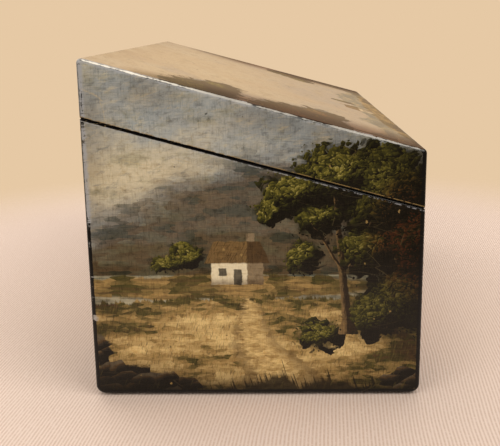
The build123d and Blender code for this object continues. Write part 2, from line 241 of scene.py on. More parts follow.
class Finish(Maker):
    """A material with one shader."""

    def __init__(self, name, **constants):
        self.material = bpy.data.materials.new(name)
        self.material.use_nodes = True
        super().__init__(self.material.node_tree)
        self.tree.nodes.clear()
        self.output = self.tree.nodes.new("ShaderNodeOutputMaterial")
        self.shader = self.tree.nodes.new("ShaderNodeBsdfPrincipled")
        self.tree.links.new(self.shader.outputs[0], self.output.inputs["Surface"])
        for socket, value in constants.items():
            self.shader.inputs[socket.replace("_", " ").title().replace("Ior", "IOR")].default_value = value

    def feed(self, **links):
        """Link the sockets that change over the surface."""
        for socket, value in links.items():
            self.tree.links.new(value.socket, self.shader.inputs[socket.replace("_", " ").title()])
        return self.material


# The painter's picture: one landscape laid out flat, the faces of the box side by side.
# s runs to the right and t upwards, as each face is seen from outside, in millimetres.

LEFT_END_S = 0
FRONT_S = LEFT_END_S + 2 * HALF_DEPTH
RIGHT_END_S = FRONT_S + 2 * HALF_LENGTH
BACK_S = RIGHT_END_S + 2 * HALF_DEPTH
TOP_S = 1000
TOP_T = 56
# What each piece shows of it: first s, last s, lowest t, highest t
LEFT_END = (-8, 158, 0, 160)
FRONT = (142, 462, 0, 120)
RIGHT_END = (446, 612, 0, 160)
BACK = (596, 916, 0, 160)
TOP = (992, 1312, 52, 224)
LID_EDGE = (-8, 916, 100, 160)
BASE_EDGE = (-8, 916, 0, 8)

SKY_MIST = srgb(176, 168, 152)
SKY_BLUE = srgb(152, 154, 150)
SKY_DARK = srgb(112, 112, 108)
SKY_OLIVE = srgb(138, 130, 100)
CLOUD = srgb(194, 178, 146)
CLOUD_LIGHT = srgb(206, 188, 154)
FAR_HILL = srgb(92, 90, 74)
NEAR_HILL = srgb(72, 66, 46)
HILL_LIGHT = srgb(140, 126, 88)
WATER = srgb(146, 138, 112)
WATER_DARK = srgb(78, 80, 68)
SAND = srgb(156, 125, 74)
SAND_LIGHT = srgb(212, 180, 120)
EARTH = srgb(82, 60, 34)
GRASS = srgb(72, 64, 28)
GRASS_LIGHT = srgb(118, 102, 50)
LEAF_LIGHT = srgb(112, 102, 40)
LEAF = srgb(66, 62, 24)
LEAF_DARK = srgb(38, 36, 18)
LEAF_GLINT = srgb(158, 142, 78)
RUSSET = srgb(116, 58, 26)
RUSSET_DARK = srgb(64, 34, 18)
SHADE = srgb(24, 20, 14)
BARK = srgb(46, 34, 22)
BARK_LIGHT = srgb(132, 104, 66)
STONE = srgb(98, 84, 64)
STONE_DARK = srgb(48, 40, 30)
LIMEWASH = srgb(222, 204, 168)
LIMEWASH_SHADE = srgb(132, 112, 84)
THATCH = srgb(114, 88, 52)
THATCH_SHADE = srgb(64, 46, 28)
JAPAN_BLACK = srgb(16, 14, 13)
RUBBED_EDGE_AND_HIGHLIGHT = srgb(158, 155, 154)
PALE_GROUND_AND_HIGHLIGHT = srgb(232, 222, 204)
TOP_GLOSS_REFLECTION = srgb(180, 148, 112)
VARNISH_BROWN = srgb(104, 78, 42)
STAIN = srgb(74, 30, 20)

# Rounded things in the picture: middle s, middle t, half width, half height
CROWNS = (
    (112, 104, 20, 13), (93, 96, 14, 10), (133, 96, 22, 22), (147, 74, 18, 26), (103, 85, 12, 8),
    (82, 88, 8, 6), (126, 70, 15, 12), (143, 48, 19, 18), (130, 40, 13, 12),
    (104, 30, 10, 8), (44, 67, 7, 6), (35, 63, 6, 4), (96, 67, 7, 8),
    (176, 80, 22, 17), (200, 68, 17, 14), (160, 60, 13, 22), (216, 60, 9, 8), (170, 36, 16, 12),
    (396, 62, 16, 14), (424, 78, 24, 18), (444, 58, 15, 22), (376, 56, 9, 7), (438, 32, 16, 13),
    (266, 64, 6, 6), (330, 66, 7, 6), (339, 63, 5, 4),
    (466, 84, 20, 17), (488, 70, 17, 14), (458, 56, 12, 20), (503, 60, 8, 7), (468, 34, 15, 12),
    (574, 98, 13, 10), (586, 87, 9, 8), (565, 88, 8, 6),
    (628, 98, 24, 18), (656, 84, 19, 16), (612, 72, 13, 24), (676, 72, 10, 8), (620, 38, 16, 13),
    (868, 102, 25, 20), (892, 80, 16, 26), (843, 86, 14, 11), (828, 75, 8, 6), (890, 36, 17, 14),
    (768, 66, 6, 6), (720, 65, 7, 5),
    (1014, 158, 32, 17), (1044, 150, 16, 10), (1010, 112, 34, 22), (1038, 100, 18, 12),
    (1276, 112, 20, 15), (1296, 96, 14, 18), (1256, 104, 11, 9), (1292, 76, 14, 10), (1156, 82, 7, 6),
)
RUSSETS = ((146, 76, 22, 28), (160, 64, 24, 24), (436, 66, 26, 24), (462, 60, 22, 22), (636, 90, 30, 24),
           (884, 84, 24, 26), (1008, 100, 52, 26), (1286, 100, 26, 20))
MEADOWS = ((56, 53, 76, 6), (236, 52, 70, 6), (512, 53, 50, 5), (760, 53, 90, 6), (1140, 60, 110, 7))
GLADES = ((66, 22, 84, 26), (262, 24, 90, 15), (536, 24, 60, 15), (752, 26, 100, 16))
# Wooded slopes behind the trees
WOODS = ((108, 50, 116, 60), (186, 48, 84, 46), (432, 44, 84, 46), (480, 48, 72, 52), (642, 56, 76, 56),
         (880, 56, 84, 60), (1304, 78, 36, 24))
ROCKS = ((13, 8, 17, 8), (36, 4, 14, 6), (2, 22, 6, 6), (146, 7, 14, 7), (236, 6, 20, 8), (262, 3, 14, 5),
         (380, 5, 18, 7), (520, 6, 18, 8), (598, 10, 14, 9), (700, 6, 22, 8), (806, 5, 18, 7),
         (1064, 57, 18, 5), (1210, 58, 20, 5))
GLOWS = ((12, 103, 66, 17), (290, 86, 74, 20), (540, 92, 44, 22), (752, 98, 74, 24), (1120, 174, 190, 62))
# Where the varnish has sunk and the picture is darkest
GLOOMS = ((152, 66, 52, 70), (454, 44, 40, 60), (606, 50, 26, 60), (904, 60, 34, 80), (1306, 66, 26, 26),
          (18, 0, 62, 22), (300, 0, 90, 14), (540, 0, 60, 18), (760, 0, 120, 16))

# Trunks and boughs: foot s, foot t, top t, lean to the right for each millimetre up, width at the foot
TRUNKS = (
    (117, 30, 96, -0.1, 4.6), (114, 60, 88, -0.62, 1.8), (136, 30, 88, 0.06, 3.6), (118, 62, 84, 0.4, 1.6),
    (180, 30, 84, -0.06, 3.8), (199, 32, 72, 0.04, 2.6), (178, 54, 74, 0.62, 1.5),
    (402, 32, 64, -0.1, 2.4), (424, 30, 82, 0.06, 4.0), (424, 54, 74, -0.66, 1.5),
    (472, 34, 88, -0.06, 3.6), (489, 36, 72, 0.02, 2.4), (576, 50, 98, -0.03, 1.8), (575, 70, 88, 0.5, 1.0),
    (634, 38, 98, -0.08, 4.2), (655, 40, 84, 0.04, 2.8), (632, 62, 86, 0.7, 1.6),
    (868, 38, 102, 0.02, 4.4), (888, 36, 84, 0.1, 3.0), (868, 62, 90, -0.72, 1.6),
    (1006, 68, 158, 0.06, 4.2), (1010, 104, 146, 0.6, 1.8), (1274, 68, 110, 0.04, 3.6),
    (1292, 68, 104, 0.04, 2.8), (1275, 88, 106, -0.72, 1.4),
)
# Paths: s at the foot, lean, top t, half width at the foot
PATHS = ((84, -0.26, 50, 19), (262, -0.3, 50, 17), (340, 0.2, 44, 10), (540, 0.2, 50, 16),
         (748, -0.1, 52, 18))
# Cottages: s, t and half length
COTTAGES = ((67, 54, 12.0), (248, 53, 12.0), (742, 54, 12.5), (1128, 65, 10.0))


def within(features, windows, shape):
    """The features that come inside a piece's windows on the picture; shape gives a feature's own window."""
    def meets(feature):
        s_low, s_high, t_low, t_high = shape(*feature)
        return any(s_low < right and s_high > left and t_low < high and t_high > low
                   for left, right, low, high in windows)
    return [feature for feature in features if meets(feature)]


def round_shape(s, t, half_width, half_height):
    return (s - 1.3 * half_width, s + 1.3 * half_width, t - 1.3 * half_height, t + 1.3 * half_height)


def trunk_shape(foot_s, foot_t, top_t, lean, width):
    side = width + abs(lean) * (top_t - foot_t)
    return (foot_s - side, foot_s + side, foot_t, top_t)


def cottage_shape(s, t, size):
    return (s - 1.4 * size, s + 1.4 * size, t, t + 2.2 * size)


def reach(f, s, t, ovals):
    """How far out of the nearest oval a spot is: 0 in its middle, 1 at its edge."""
    spot = f.joined(s, t)
    nearest = None
    for middle_s, middle_t, half_width, half_height in ovals:
        size = (1 / half_width, 1 / half_height, 0)
        away = f.vector("MULTIPLY_ADD", spot, size, (-middle_s / half_width, -middle_t / half_height, 0))
        away = f.vector("LENGTH", away, out="Value")
        nearest = away if nearest is None else nearest.low(away)
    return nearest


def brush_dab(f, s, t, width, height, seed):
    """The brush dab that covers a spot: its middle, how far across and up it the spot is, and its tone."""
    wander = f.flecks(s * 0.06, t * 0.06, seed, out="Color")
    wander = f.vector("MULTIPLY_ADD", wander, (1.8, 1.8, 0), (0, 0, 0))
    spot = f.vector("ADD", f.joined(s / width + seed, t / height + seed * 0.37), wander)
    inputs = {"Vector": spot, "Scale": 1.0}
    node = f.node("TexVoronoi", {"voronoi_dimensions": "2D"}, inputs).socket.node
    off = f.vector("SUBTRACT", spot, Value(f, node.outputs["Position"]))
    across, up, _ = f.split(off)
    tone = f.split(Value(f, node.outputs["Color"]))[0]
    return s - across * width, t - up * height, across, up, tone


def sky(f, s, t):
    """Mist and cloud, scumbled thinly over one another."""
    turn = radians(20)
    along = s * cos(turn) + t * sin(turn)
    across = t * cos(turn) - s * sin(turn)
    drift = f.flecks(along * 0.01, across * 0.024, 1.5, 4.0, 0.6)
    billow = f.flecks(s * 0.03, t * 0.055, 8.0, 5.0, 0.66)
    dabs = f.flecks(along * 0.14, across * 0.4, 9.0, 4.0, 0.7)
    tint = f.flecks(s * 0.07, t * 0.12, 21.0, 4.0, 0.66)
    scene = f.colour(drift.rise(0.38, 0.62), SKY_MIST, SKY_BLUE)
    scene = f.colour(billow.rise(0.48, 0.7) * 0.55, CLOUD, scene)
    glow = reach(f, s, t, GLOWS).rise(1.3, 0.3)
    scene = f.colour(glow * (drift + (billow - 0.5) * 0.5).rise(0.3, 0.54) * 0.85, CLOUD_LIGHT, scene)
    scene = f.colour(tint.rise(0.5, 0.68) * 0.5, SKY_OLIVE, scene)
    scene = f.colour(dabs.rise(0.52, 0.72) * 0.6, CLOUD, scene)
    scene = f.colour(dabs.rise(0.48, 0.3) * 0.5, SKY_DARK, scene)
    return scene, dabs


def distance(f, scene, s, t):
    """Hills in the mist, still water under them, and spits of land out in it."""
    dab_s, dab_t, _, _, tone = f.use(BRUSH_DAB, s, t, 4.5, 1.3, 7.0)
    loose_t = dab_t * 0.4 + t * 0.6
    far = f.flecks(s * 0.017, 4.2, 0, 3.0) * 44 + 53
    near = f.flecks(s * 0.028, 9.7, 0, 3.0) * 30 + 48
    slope = f.flecks(dab_s * 0.05, dab_t * 0.12, 3.0, 3.0, 0.6)
    hill = f.colour(slope.rise(0.42, 0.62), HILL_LIGHT, FAR_HILL)
    scene = f.colour((loose_t - far).rise(1.2, -1.2) * 0.7, hill, scene)
    hill = f.colour(slope.rise(0.5, 0.7) * 0.7, HILL_LIGHT, NEAR_HILL)
    scene = f.colour((loose_t - near).rise(0.8, -0.8) * 0.85, hill, scene)
    wood = f.colour(slope.rise(0.45, 0.65), NEAR_HILL, f.colour(slope.rise(0.5, 0.4), LEAF_DARK, EARTH))
    scene = f.colour((reach(f, s, loose_t, WOODS) + (slope - 0.5) * 0.5).rise(1.18, 0.88) * 0.85, wood, scene)
    ripple = f.flecks(s * 0.035, t * 0.7, 5.0, 3.0) + (tone - 0.5) * 0.1
    water = f.colour(ripple.rise(0.38, 0.6), WATER, WATER_DARK)
    water = f.colour(t.rise(57, 48) * 0.25, CLOUD, water)
    scene = f.colour((dab_t * 0.3 + t * 0.7).rise(59.0, 58.2), water, scene)
    meadow = f.colour(slope.rise(0.4, 0.6), SAND, GRASS)
    meadow = f.colour(ripple.rise(0.5, 0.4) * 0.5, EARTH, meadow)
    return f.colour(reach(f, s, loose_t + (slope - 0.5) * 8, MEADOWS).rise(1.06, 0.9), meadow, scene)


def cottage(f, scene, s, t, place_s, place_t, size):
    """Limewashed walls under thatch, with a door, a window and a chimney."""
    wobble = f.flecks(s * 0.3, t * 0.3, 19.0) - 0.5
    across = (s + wobble * 1.6 - place_s) / size
    up = (t + wobble * 1.4 - place_t) / size
    gable = across.rise(0.34, 0.4)
    wall = across.size().rise(1.0, 0.95) * up.rise(0.95, 0.9) * (-up).below(0.0)
    wash = f.colour(gable, LIMEWASH_SHADE, LIMEWASH)
    wash = f.colour((up.rise(0.35, 0.0) + wobble.size()) * 0.6, EARTH, wash)
    door = across.band(0.02, 0.13, 0.04) * up.rise(0.62, 0.58)
    window = across.band(-0.55, 0.13, 0.04) * up.band(0.5, 0.13, 0.04)
    wash = f.colour(door.high(window) * 0.85, SHADE, wash)
    scene = f.colour(wall, wash, scene)
    chimney = across.band(0.5, 0.13, 0.04) * up.rise(2.0, 1.94) * (-up).below(-1.0)
    scene = f.colour(chimney, LIMEWASH_SHADE, scene)
    pitch = (across.size() + up * 0.42).rise(1.6, 1.54) * up.rise(1.7, 1.64) * up.rise(0.8, 0.86)
    straw = f.flecks(s * 1.6 - t * 0.8, t * 0.2, 23.0)
    thatch = f.colour(gable.high(straw.rise(0.5, 0.7)) * 0.8, THATCH_SHADE, THATCH)
    return f.colour(pitch, thatch, scene)


def ground(f, scene, s, t):
    """The bank, lit and shaded in long dabs, with the paths worn into it and grass along its edge."""
    dab_s, dab_t, _, _, tone = f.use(BRUSH_DAB, s, t, 4.0, 1.4, 12.0)
    loose_s, loose_t = dab_s * 0.45 + s * 0.55, dab_t * 0.45 + t * 0.55
    wave = f.flecks(s * 0.02, 2.1, 0, 4.0, 0.55)
    edge_blades = f.flecks(s * 0.8 + t * 0.12, t * 0.1, 7.0, 2.0, 0.6)
    top = wave * 34 + edge_blades * 7 + 27
    patches = f.flecks(loose_s * 0.03, loose_t * 0.085, 2.0, 5.0, 0.62) + (tone - 0.5) * 0.1
    patches = patches + reach(f, s, t, GLADES).rise(1.2, 0.2) * 0.2
    bank = f.ramp(patches, (0.26, SHADE), (0.4, EARTH), (0.5, GRASS), (0.6, SAND), (0.76, SAND_LIGHT))
    blade = f.flecks(s * 1.3 - t * 0.3, t * 0.22, 31.0, 2.0, 0.6)
    bank = f.colour(blade.rise(0.54, 0.68) * 0.5, GRASS_LIGHT, bank)
    bank = f.colour(blade.rise(0.44, 0.32) * 0.5, LEAF_DARK, bank)
    grit = f.flecks(loose_s * 0.18, loose_t * 0.5, 37.0, 4.0, 0.65)
    for foot_s, lean, top_t, width in PATHS:
        bend = (t * (2.4 * pi / top_t)).math("SINE") * (0.35 * width)
        middle = foot_s + t * lean + bend * (1 - t / top_t)
        half = width * (1.06 - t / top_t).high(0.06)
        beside = (loose_s + (grit - 0.5) * 9 - middle).size() / half
        worn = f.colour(grit.rise(0.35, 0.65), SAND_LIGHT, SAND)
        worn = f.colour(beside.rise(0.4, 1.1) * 0.7, EARTH, worn)
        bank = f.colour(beside.rise(1.25, 0.8) * t.rise(top_t, top_t - 4), worn, bank)
    return f.colour((t - top).rise(0.6, -0.6), bank, scene)


def foreground(f, scene, s, t):
    """A dark near bank with stones and tall grass against the light."""
    low = f.flecks(s * 0.03, 6.3, 0, 3.0, 0.6) * 40 - 16
    blades = f.flecks(s * 0.7 + t * 0.2, t * 0.035, 41.0, 2.0, 0.7)
    scene = f.colour((t - low - blades.rise(0.5, 0.85) * 15).rise(1.6, -1.6) * 0.88, SHADE, scene)
    dab_s, dab_t, across, up, tone = f.use(BRUSH_DAB, s, t, 8.0, 5.0, 51.0)
    rough = f.flecks(s * 0.25, t * 0.5, 55.0, 4.0, 0.7)
    stone = reach(f, dab_s * 0.6 + s * 0.4, dab_t * 0.6 + t * 0.4, ROCKS)
    lit = up * 1.3 - across * 0.4 + (tone - 0.5) * 0.4 + (rough - 0.5) * 0.9
    face = f.ramp(lit + 0.2, (0.1, SHADE), (0.45, STONE_DARK), (0.66, EARTH), (0.95, STONE))
    scene = f.colour((stone + (rough - 0.5) * 0.3).rise(1.06, 0.94), face, scene)
    fern = f.flecks(s * 1.1 - t * 0.45, t * 0.12, 43.0, 2.0, 0.6)
    return f.colour(fern.rise(0.6, 0.68) * t.rise(24, 8) * 0.4, GRASS_LIGHT, scene)


def trunk(f, scene, s, t, foot_s, foot_t, top_t, lean, width):
    middle = foot_s + (t - foot_t) * lean
    across = (s - middle) / width
    up = (t - foot_t) / (top_t - foot_t)
    root = up.rise(0.12, 0.0) * 0.5
    mask = (across.size() + up * 0.34 - root).rise(0.56, 0.48) * up.below(1.0) * (-up).below(0.0)
    furrow = f.flecks(s * 1.3, t * 0.25, 29.0, 3.0, 0.6) - 0.5
    bark = f.colour((across + furrow * 0.8).rise(0.05, -0.35) * 0.8, BARK_LIGHT, BARK)
    return f.colour(mask, bark, scene)


def trees_part(name, crowns, trunks):
    """Dark masses first, then trunks and boughs, then leaves dabbed smaller and lighter towards the light."""
    crown_reach = part(name + "_crowns", lambda f, s, t: reach(f, s, t, crowns), "Float Float")

    def leafage(f, scene, s, t, side_lit, turned, size, seed, spread, scatter, lift, gap):
        dab_s, dab_t, across, up, tone = f.use(BRUSH_DAB, s, t, size, size * 0.85, seed)
        cluster = f.use(crown_reach, dab_s, dab_t) + tone * scatter - spread
        spot = f.vector("LENGTH", f.joined(across, up), out="Value")
        mask = cluster.rise(0.03, -0.03) * (spot - gap).rise(0.06, -0.06)
        lit = side_lit + up * 0.42 - across * 0.34 + (tone - 0.5) * 0.5 + lift
        green = f.ramp(lit, (0.0, SHADE), (0.25, LEAF_DARK), (0.5, LEAF), (0.78, LEAF_LIGHT),
                       (1.0, LEAF_GLINT))
        brown = f.ramp(lit, (0.0, SHADE), (0.3, BARK), (0.6, RUSSET), (0.9, THATCH), (1.0, SAND))
        leaves = f.colour(turned * tone.rise(0.15, 0.5), brown, green)
        return f.colour(mask, leaves, scene)

    layer = part(name + "_leafage", leafage, "Color" + " Float" * 10, "Color")

    def trees(f, scene, s, t):
        warp = f.flecks(s * 0.09, t * 0.09, 27.0, 3.0, 0.6, out="Color")
        warp_s, warp_t, _ = f.split(f.vector("MULTIPLY_ADD", warp, (9, 9, 0), (-4.5, -4.5, 0)))
        s_here, t_here = s + warp_s, t + warp_t
        towards = f.use(crown_reach, s_here - 3.0, t_here + 4.0)
        here_reach = f.use(crown_reach, s_here, t_here)
        side_lit = (towards - here_reach).low(0.3).high(-0.3) * 1.1
        turned = reach(f, s, t, RUSSETS).rise(1.2, 0.4)
        haze = (here_reach + f.flecks(s * 0.5, t * 0.5, 33.0) * 0.3).rise(1.36, 0.9)
        scene = f.colour(haze * 0.8, f.colour(turned * 0.6, RUSSET_DARK, LEAF_DARK), scene)
        here = (s_here, t_here, side_lit, turned)
        scene = f.use(layer, scene, *here, 6.5, 21.0, 1.1, 0.35, 0.02, 0.8)
        for foot_s, foot_t, top_t, lean, width in trunks:
            scene = f.use(TRUNK, scene, s + warp_s * 0.25, t, foot_s, foot_t, top_t, lean, width)
        scene = f.use(layer, scene, *here, 4.2, 33.0, 1.1, 0.45, 0.12, 0.6)
        scene = f.use(layer, scene, *here, 2.5, 47.0, 1.16, 0.6, 0.22, 0.5)
        return f.use(layer, scene, *here, 1.4, 61.0, 1.26, 0.8, 0.3, 0.36)

    return part(name + "_trees", trees, "Color Float Float", "Color")


def aged(f, scene, s, t, bristle):
    """The picture's dark corners, the mottle of old varnish and the hairs of the brush."""
    gloom = reach(f, s, t, GLOOMS).rise(1.1, 0.1)
    scene = f.colour(gloom * 0.72, SHADE, scene)
    mottle = f.flecks(s * 0.3, t * 0.3, 17.0, 5.0, 0.7)
    scene = f.colour(mottle.rise(0.52, 0.75) * 0.4, PALE_GROUND_AND_HIGHLIGHT, scene, "SOFT_LIGHT")
    scene = f.colour(mottle.rise(0.5, 0.3) * 0.5, SHADE, scene, "SOFT_LIGHT")
    level = f.flecks(s * 0.16, t * 1.5, 67.0, 3.0, 0.7)
    plumb = f.flecks(s * 1.5, t * 0.16, 71.0, 3.0, 0.7)
    hairs = level.high(plumb)
    scene = f.colour(hairs.rise(0.52, 0.68) * 0.4, SHADE, scene, "SOFT_LIGHT")
    scene = f.colour(level.low(plumb).rise(0.46, 0.34) * 0.4, PALE_GROUND_AND_HIGHLIGHT, scene, "SOFT_LIGHT")
    return scene, bristle * 0.5 + mottle * 0.3 + hairs * 0.2


def worn(f, paint, relief, spot, end, long, depth, under):
    """What age has done to the painted box, with painted highlights along its arrises and joint and a painted
    reflection of the warm backdrop on the top's varnish. Gives colour, roughness, varnish left and height.
    """
    side = end.low(long)
    level = depth.low(under)
    crest = side + depth

    # The varnish has browned towards the arrises, and the paint is darker towards the bottom
    edge = (end + long).low(side + under).low(crest + 0.9).low(depth + under)
    smudge = f.noise(spot, 0.03, 3.0, 0.6)
    paint = f.colour(edge.rise(22, 3) * smudge.rise(0.35, 0.65) * 0.4, VARNISH_BROWN, paint, "MULTIPLY")
    paint = f.colour(under.rise(12, 1.5) * 0.55, SHADE, paint)

    # Arrises: japanned black where the picture is dark, and where it is light rubbed pale and brightened with
    # a painted highlight on their rounds
    light = f.node("RGBToBW", inputs={0: paint})
    rub = f.noise(spot, 0.45, 4.0, 0.62)
    pale = light.rise(0.19, 0.26)
    on_top = depth.below(side)
    # Painted reflection: the top is tinted towards the warm backdrop that its varnish mirrors
    paint = f.colour(on_top * (0.3 + pale * (0.2 + smudge * 0.4)), TOP_GLOSS_REFLECTION, paint)
    # The picture on the top: olive towards the hinge, russet on the lock side near the ends
    towards_hinge = f.split(spot)[1]
    olive = towards_hinge.band(26, 12, 20) * end.rise(34, 2) * 0.55
    paint = f.colour(on_top * olive, GRASS_LIGHT, paint, "MULTIPLY")
    lock_side = towards_hinge.rise(46, 6)
    paint = f.colour(on_top * lock_side * end.rise(56, 3) * 0.8, RUSSET, paint, "MULTIPLY")
    # Painted highlight and wear: the rounds of the arrises are paler where the picture is light
    rubbed_and_lit = (edge + (rub - 0.5) * 1.8).rise(3.4, 1.7)
    paint = f.colour(rubbed_and_lit * pale * 0.8, RUBBED_EDGE_AND_HIGHLIGHT, paint)
    bound = (edge + (rub - 0.5) * 0.7).rise(2.25, 1.95)
    paint = f.colour(bound * (1 - pale), JAPAN_BLACK, paint)
    paint = f.colour(bound * rub.rise(0.6, 0.67) * 0.6, JAPAN_BLACK, paint)
    fold = (end + long + (rub - 0.5) * 0.3).rise(1.22, 1.08)
    paint = f.colour(fold * 0.8, JAPAN_BLACK, paint)

    # The top's arris carries a painted highlight and is rubbed through to the pale ground, more in some
    # places than in others
    dashes = f.noise(spot, 0.07, 4.0, 0.7)
    thin = (crest - dashes.rise(0.4, 0.6) * 0.14 + (rub - 0.5) * 0.22).rise(1.16, 1.06)
    paint = f.colour((crest + (rub - 0.5) * 0.3).rise(1.3, 1.2) * 0.6, JAPAN_BLACK, paint)
    # Painted highlight and wear: a broken pale line along the crest of the top's arris
    paint = f.colour(thin * dashes.rise(0.3, 0.42) * (1 - lock_side * 0.55), PALE_GROUND_AND_HIGHLIGHT, paint)

    # The joint: black in the gap, a broken pale painted highlight under it and an ochre line above
    joint = depth - LID_HEIGHT * cos(SLOPE)
    outside = side.below(1.0)
    # Painted highlight along the lip under the joint
    paint = f.colour(joint.band(0.95, 0.2, 0.15) * outside * rub.rise(0.44, 0.56) * 0.6, RUBBED_EDGE_AND_HIGHLIGHT, paint)
    paint = f.colour(joint.band(-0.9, 0.14, 0.15) * outside * rub.rise(0.4, 0.55) * 0.7, SAND, paint)
    paint = f.colour((joint + (rub - 0.5) * 0.5).band(0.0, 0.68, 0.12), JAPAN_BLACK, paint)

    # Chips, specks and a few long scratches
    chip = (f.cells(f.stirred(spot, 0.3, 2.0), 0.1) + rub * 0.2).rise(0.16, 0.14)
    paint = f.colour(chip * 0.7, f.colour(pale, SHADE, SAND), paint)
    slant = f.vector("MULTIPLY", f.stirred(spot, 0.02, 14.0), (0.05, 0.02, 0.16))
    scratch = f.cells(slant, 1.0, "DISTANCE_TO_EDGE").rise(0.006, 0.002) * smudge.rise(0.48, 0.56)
    paint = f.colour(scratch * (pale * 0.2 + 0.05), SAND_LIGHT, paint)

    # Stained wood on the inner faces
    grain = f.noise(f.vector("MULTIPLY", spot, (0.03, 0.5, 0.5)), 1.0, 4.0, 0.6)
    inner = side.low(level).rise(2.2, 2.6) * joint.size().rise(0.3, 0.45)
    paint = f.colour(inner, f.colour(grain.rise(0.3, 0.7), STAIN, SHADE), paint)

    craze = f.cells(f.stirred(spot, 0.2, 3.0), 0.22, "DISTANCE_TO_EDGE").rise(0.02, 0.0)
    height = relief * 0.6 - craze * 0.5 - chip * 0.8 - scratch * 0.4 - bound * rub * 0.6
    rough = 0.36 + relief * 0.2 + bound * 0.12 + inner * 0.2 + smudge * 0.1
    varnish = 0.5 - on_top * 0.28 - inner * 0.3 - chip * 0.3
    return paint, rough, varnish, height


BRUSH_DAB = part("brush_dab", brush_dab, "Float " * 5, "Float " * 5)
SKY = part("sky", sky, "Float Float", "Color Float")
DISTANCE = part("distance", distance, "Color Float Float", "Color")
COTTAGE = part("cottage", cottage, "Color" + " Float" * 5, "Color")
GROUND = part("ground", ground, "Color Float Float", "Color")
FOREGROUND = part("foreground", foreground, "Color Float Float", "Color")
TRUNK = part("trunk", trunk, "Color" + " Float" * 7, "Color")
AGED = part("aged_picture", aged, "Color Float Float Float", "Color Float")
WORN = part("worn_box", worn, "Color Float Vector" + " Float" * 4, "Color Float Float Float")


def painted_side(name, windows):
    """The landscape over the outer faces, worn and varnished, with what of it comes inside these windows."""
    f = Finish(name, coat_roughness=0.16, specular_ior_level=0.0)
    spot = f.place()
    x, y, z = f.split(spot)
    y = y - MIDDLE_Y
    end = HALF_LENGTH - x.size()
    long = HALF_DEPTH - y.size()
    depth = (TOP_MIDDLE + y * tan(SLOPE) - z) * cos(SLOPE)
    under = z - FLOOR_OF_BASE

    on_top = depth.below(end.low(long))
    end_s = f.pick(x.below(0), LEFT_END_S + HALF_DEPTH - y, RIGHT_END_S + HALF_DEPTH + y)
    long_s = f.pick(y.below(0), FRONT_S + HALF_LENGTH + x, BACK_S + HALF_LENGTH - x)
    s = f.pick(on_top, TOP_S + HALF_LENGTH + x, f.pick(end.below(long), end_s, long_s))
    t = f.pick(on_top, (y + HALF_DEPTH) / cos(SLOPE) + TOP_T, z)

    scene, bristle = f.use(SKY, s, t)
    scene = f.use(DISTANCE, scene, s, t)
    for place_and_size in within(COTTAGES, windows, cottage_shape):
        scene = f.use(COTTAGE, scene, s, t, *place_and_size)
    scene = f.use(GROUND, scene, s, t)
    crowns = within(CROWNS, windows, round_shape)
    if crowns:
        trees = trees_part(name, crowns, within(TRUNKS, windows, trunk_shape))
        scene = f.use(trees, scene, s, t)
    scene = f.use(FOREGROUND, scene, s, t)
    scene, relief = f.use(AGED, scene, s, t, bristle)
    paint, rough, varnish, height = f.use(WORN, scene, relief, spot, end, long, depth, under)
    return f.feed(base_color=paint, roughness=rough, coat_weight=varnish, normal=f.bump(height, 0.1, 0.6))


# Other finishes

def polished_wood(name, dark, light, along):
    """Wood with its grain along one axis."""
    f = Finish(name, coat_weight=0.25, coat_roughness=0.25)
    stretch = [0.3, 0.3, 0.3]
    stretch[along] = 0.014
    flow = f.vector("MULTIPLY", f.place(), tuple(stretch))
    warp = f.noise(flow, 0.6, 2.0)
    grain = f.noise(f.vector("ADD", flow, f.joined(warp, warp, warp)), 1.6, 5.0, 0.65)
    pore = f.noise(f.vector("MULTIPLY", flow, (5.0, 5.0, 5.0)), 2.0, 2.0, 0.7)
    stain = f.noise(f.place(), 0.015, 3.0, 0.5)
    wood = f.colour(grain.rise(0.35, 0.65), light, dark)
    wood = f.colour(pore.rise(0.62, 0.72) * 0.5, dark, wood)
    wood = f.colour(stain.rise(0.45, 0.65) * 0.35, dark, wood, "MULTIPLY")
    return f.feed(base_color=wood, roughness=0.36 + pore * 0.2 + stain * 0.1,
                  normal=f.bump(grain * 0.5 + pore, 0.05, 0.4))


def aged_metal(name, bright, dull, rough, brushed):
    f = Finish(name, metallic=1.0)
    spot = f.place()
    cloud = f.noise(spot, 0.25, 4.0, 0.6)
    rubbed = f.noise(f.vector("MULTIPLY", spot, brushed), 1.0, 3.0, 0.7)
    pit = f.cells(spot, 0.9).rise(0.16, 0.08) * cloud.rise(0.5, 0.6)
    metal = f.colour(cloud.rise(0.45, 0.75) * 0.6, dull, bright)
    metal = f.colour(rubbed.rise(0.6, 0.8) * 0.35 + pit * 0.5, dull, metal)
    return f.feed(base_color=metal, roughness=rough + cloud * 0.25 + pit * 0.2,
                  normal=f.bump(rubbed - pit, 0.02, 0.5))


def velvet(name, deep, bright):
    f = Finish(name, roughness=0.9, sheen_weight=0.7, sheen_roughness=0.35)
    spot = f.place()
    nap = f.noise(spot, 2.2, 3.0, 0.7)
    brushed = f.noise(spot, 0.03, 4.0, 0.6)
    pile = f.colour(brushed.rise(0.3, 0.7) * 0.35 + nap * 0.4, bright, deep)
    return f.feed(base_color=pile, normal=f.bump(nap + brushed, 0.25, 0.7))


def braid(name, thread, gap):
    """Narrow woven trimming with slanting ribs."""
    f = Finish(name, roughness=0.6, sheen_weight=0.3)
    spot = f.place()
    x, y, _ = f.split(spot)
    rib = ((x + y) * 4.2).math("SINE") * 0.5 + 0.5
    fuzz = f.noise(spot, 1.6, 3.0, 0.6)
    silk = f.colour(rib.rise(0.1, 0.6) * (0.6 + fuzz * 0.5), thread, gap)
    return f.feed(base_color=silk, normal=f.bump(rib + fuzz * 0.4, 0.3, 0.8))


